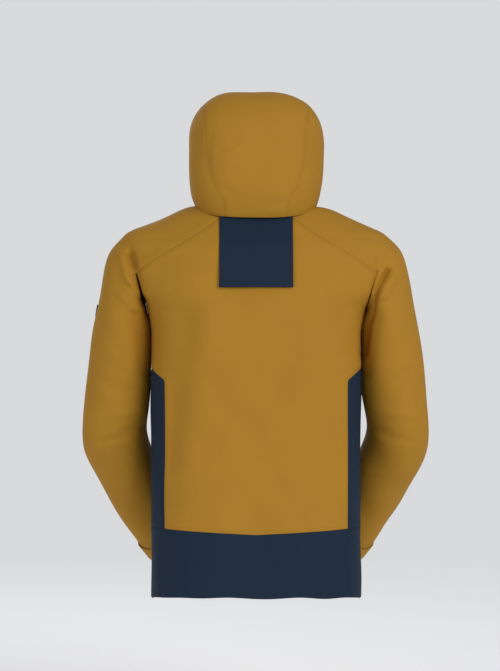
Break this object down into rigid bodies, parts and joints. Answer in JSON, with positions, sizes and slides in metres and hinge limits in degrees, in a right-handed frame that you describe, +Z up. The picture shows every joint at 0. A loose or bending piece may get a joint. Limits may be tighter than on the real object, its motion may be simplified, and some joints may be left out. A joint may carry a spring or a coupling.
{
  "type": "ski jacket",
  "caption": "Hooded insulated ski jacket with raglan sleeves, contrast side and hem panels, a back flap, full front zip, hand pockets and cuff tabs.",
  "frame": {"origin": "middle of the neck seam plane, where the jacket hangs from the wearer", "axes": "+Z up, -Y out of the front, +X to the wearer's left"},
  "size_m": [0.6782, 0.3467, 0.9851],
  "materials": {
    "mustard_shell": "matt woven shell fabric, mustard",
    "navy_shell": "matt woven shell fabric, dark navy",
    "wadding": "polyester wadding",
    "lining": "smooth woven lining",
    "fleece": "brushed tricot",
    "knit": "stretch knit",
    "zip_tape": "woven zip tape",
    "zip_plastic": "moulded plastic",
    "zip_metal": "dark painted zinc"
  },
  "bodies": {
    "torso": {"back_panel": "mustard_shell", "hem_band_back": "navy_shell", "front_panel_left": "mustard_shell", "front_panel_right": "mustard_shell", "hem_band_front_left": "navy_shell", "hem_band_front_right": "navy_shell", "side_panel_left": "navy_shell", "side_panel_right": "navy_shell", "raglan_shoulder_left": "mustard_shell", "raglan_shoulder_right": "mustard_shell", "body_wadding": "wadding", "body_lining": "lining", "powder_skirt": "lining", "hand_pocket_bag_left": "fleece", "hand_pocket_bag_right": "fleece", "inner_pocket_left": "lining", "inner_pocket_right": "lining", "hang_loop": "zip_tape", "main_zip_tape_left": "zip_tape", "main_zip_tape_right": "zip_tape", "main_zip_teeth_left": "zip_plastic", "main_zip_teeth_right": "zip_plastic", "main_zip_bottom_box": "zip_metal", "inner_storm_flap": "navy_shell", "chin_guard": "fleece", "hand_pocket_left_welt": "zip_tape", "hand_pocket_right_welt": "zip_tape", "collar_outer": "mustard_shell", "collar_fleece": "fleece"},
    "hood": {"hood_centre": "mustard_shell", "hood_side_left": "mustard_shell", "hood_side_right": "mustard_shell", "hood_lining": "lining", "hood_brim": "mustard_shell"},
    "back_flap": {"back_flap": "navy_shell"},
    "main_zip_slider": {"main_zip_slider": "zip_metal"},
    "main_zip_puller": {"main_zip_puller": "zip_plastic"},
    "hand_pocket_left_slider": {"hand_pocket_left_slider": "zip_metal"},
    "hand_pocket_left_puller": {"hand_pocket_left_puller": "zip_plastic"},
    "sleeve_left": {"sleeve_upper_left": "mustard_shell", "sleeve_upper_lining_left": "lining", "sleeve_badge_left": "navy_shell"},
    "forearm_left": {"sleeve_forearm_left": "mustard_shell", "sleeve_forearm_lining_left": "lining", "cuff_left": "mustard_shell", "wrist_gaiter_left": "knit"},
    "cuff_tab_left": {"cuff_tab_left": "navy_shell"},
    "hand_pocket_right_slider": {"hand_pocket_right_slider": "zip_metal"},
    "hand_pocket_right_puller": {"hand_pocket_right_puller": "zip_plastic"},
    "sleeve_right": {"sleeve_upper_right": "mustard_shell", "sleeve_upper_lining_right": "lining"},
    "forearm_right": {"sleeve_forearm_right": "mustard_shell", "sleeve_forearm_lining_right": "lining", "cuff_right": "mustard_shell", "wrist_gaiter_right": "knit"},
    "cuff_tab_right": {"cuff_tab_right": "navy_shell"}
  },
  "joints": [
    {"name": "hood_fold", "type": "hinge", "parent": "torso", "child": "hood", "pos_m": [0, 0.098, -0.026], "axis": [1, 0, 0], "range_deg": [-95, 0]},
    {"name": "back_flap_lift", "type": "hinge", "parent": "torso", "child": "back_flap", "pos_m": [0, 0.0845, -0.0312], "axis": [1, 0, 0], "range_deg": [0, 50]},
    {"name": "main_zip_slide", "type": "slide", "parent": "torso", "child": "main_zip_slider", "axis": [0, -0.0549, -0.9985], "range_m": [0, 0.76]},
    {"name": "main_zip_puller_swing", "type": "hinge", "parent": "main_zip_slider", "child": "main_zip_puller", "pos_m": [0, -0.1009, 0.02825], "axis": [-1, 0, 0], "range_deg": [0, 80]},
    {"name": "hand_pocket_left_slide", "type": "slide", "parent": "torso", "child": "hand_pocket_left_slider", "axis": [0, -0.0495, -0.9988], "range_m": [0, 0.138]},
    {"name": "hand_pocket_left_puller_swing", "type": "hinge", "parent": "hand_pocket_left_slider", "child": "hand_pocket_left_puller", "pos_m": [0.1222, -0.1121, -0.3777], "axis": [-0.9326, -0.361, 0], "range_deg": [0, 75]},
    {"name": "sleeve_left_raise", "type": "hinge", "parent": "torso", "child": "sleeve_left", "pos_m": [0.2521, 0, -0.0599], "axis": [0, -1, 0], "range_deg": [0, 80]},
    {"name": "elbow_left_bend", "type": "hinge", "parent": "sleeve_left", "child": "forearm_left", "pos_m": [0.28085, -0.105, -0.4265], "axis": [-0.9819, 0, 0.1895], "range_deg": [0, 60]},
    {"name": "cuff_tab_left_lift", "type": "hinge", "parent": "forearm_left", "child": "cuff_tab_left", "pos_m": [0.2102, -0.1403, -0.6879], "axis": [0.5087, 0.4226, 0.7501], "range_deg": [0, 75]},
    {"name": "hand_pocket_right_slide", "type": "slide", "parent": "torso", "child": "hand_pocket_right_slider", "axis": [0, -0.0495, -0.9988], "range_m": [0, 0.138]},
    {"name": "hand_pocket_right_puller_swing", "type": "hinge", "parent": "hand_pocket_right_slider", "child": "hand_pocket_right_puller", "pos_m": [-0.1222, -0.1121, -0.3777], "axis": [-0.9326, 0.361, 0], "range_deg": [0, 75]},
    {"name": "sleeve_right_raise", "type": "hinge", "parent": "torso", "child": "sleeve_right", "pos_m": [-0.2521, 0, -0.0599], "axis": [0, 1, 0], "range_deg": [0, 80]},
    {"name": "elbow_right_bend", "type": "hinge", "parent": "sleeve_right", "child": "forearm_right", "pos_m": [-0.28085, -0.105, -0.4265], "axis": [-0.9819, 0, -0.1895], "range_deg": [0, 60]},
    {"name": "cuff_tab_right_lift", "type": "hinge", "parent": "forearm_right", "child": "cuff_tab_right", "pos_m": [-0.2102, -0.1403, -0.6879], "axis": [0.5087, -0.4226, -0.7501], "range_deg": [0, 75]}
  ]
}
